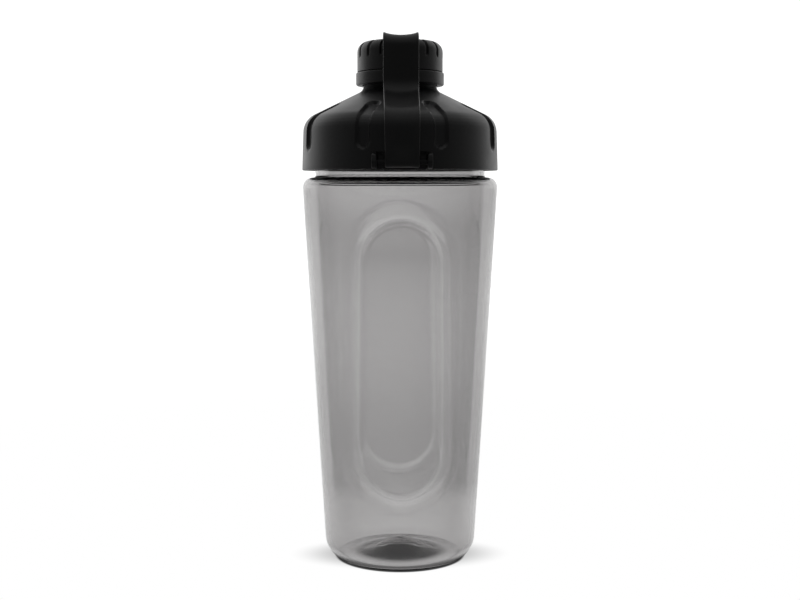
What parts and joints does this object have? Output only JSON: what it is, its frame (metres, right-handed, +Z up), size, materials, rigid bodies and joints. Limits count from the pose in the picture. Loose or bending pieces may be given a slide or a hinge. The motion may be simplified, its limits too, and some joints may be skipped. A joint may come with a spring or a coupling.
{
  "type": "shaker bottle",
  "caption": "Clear tapered shaker bottle with a screw lid, an inner mixing grid, a screw cap on the drinking spout and a hinged carry strap.",
  "frame": {"origin": "centre of the standing face, under the cup's axis", "axes": "+Z up along the cup's axis, -Y towards the strap's hinge (the front), +X to the right seen from the front"},
  "size_m": [0.092, 0.0946, 0.2465],
  "materials": {
    "smoke_plastic": "clear smoke-grey copolyester, polished",
    "black_plastic": "black polypropylene, fine satin texture",
    "grid_plastic": "black polypropylene, smooth",
    "seal_silicone": "dark grey silicone",
    "pin_plastic": "black acetal, smooth"
  },
  "bodies": {
    "cup": {"cup": "smoke_plastic"},
    "gasket": {"lid_gasket": "seal_silicone"},
    "lid": {"lid": "black_plastic", "mixing_grid": "grid_plastic", "hinge_pin": "pin_plastic"},
    "seal": {"cap_seal": "seal_silicone"},
    "cap": {"cap_core": "black_plastic", "cap_shell": "black_plastic"},
    "strap": {"strap": "black_plastic"}
  },
  "joints": [
    {"name": "lid_lift", "type": "slide", "parent": "cup", "child": "gasket", "axis": [0, 0, 1], "range_m": [0, 0.018]},
    {"name": "lid_turn", "type": "hinge", "parent": "gasket", "child": "lid", "pos_m": [0, 0, 0.195], "axis": [0, 0, 1], "range_deg": [0, 540]},
    {"name": "cap_lift", "type": "slide", "parent": "lid", "child": "seal", "axis": [0, 0, 1], "range_m": [0, 0.015]},
    {"name": "cap_turn", "type": "hinge", "parent": "seal", "child": "cap", "pos_m": [0, 0, 0.234], "axis": [0, 0, 1], "range_deg": [0, 540]},
    {"name": "strap_swing", "type": "hinge", "parent": "lid", "child": "strap", "pos_m": [0, -0.04615, 0.1873], "axis": [1, 0, 0], "range_deg": [0, 150]}
  ],
  "couplings": [
    {"joint": "lid_lift", "follows": "lid_turn", "m_per_rad": 0.0019098},
    {"joint": "cap_lift", "follows": "cap_turn", "m_per_rad": 0.0015915},
    {"joint": "strap_swing", "follows": "cap_turn", "ratio": 0.27777}
  ]
}
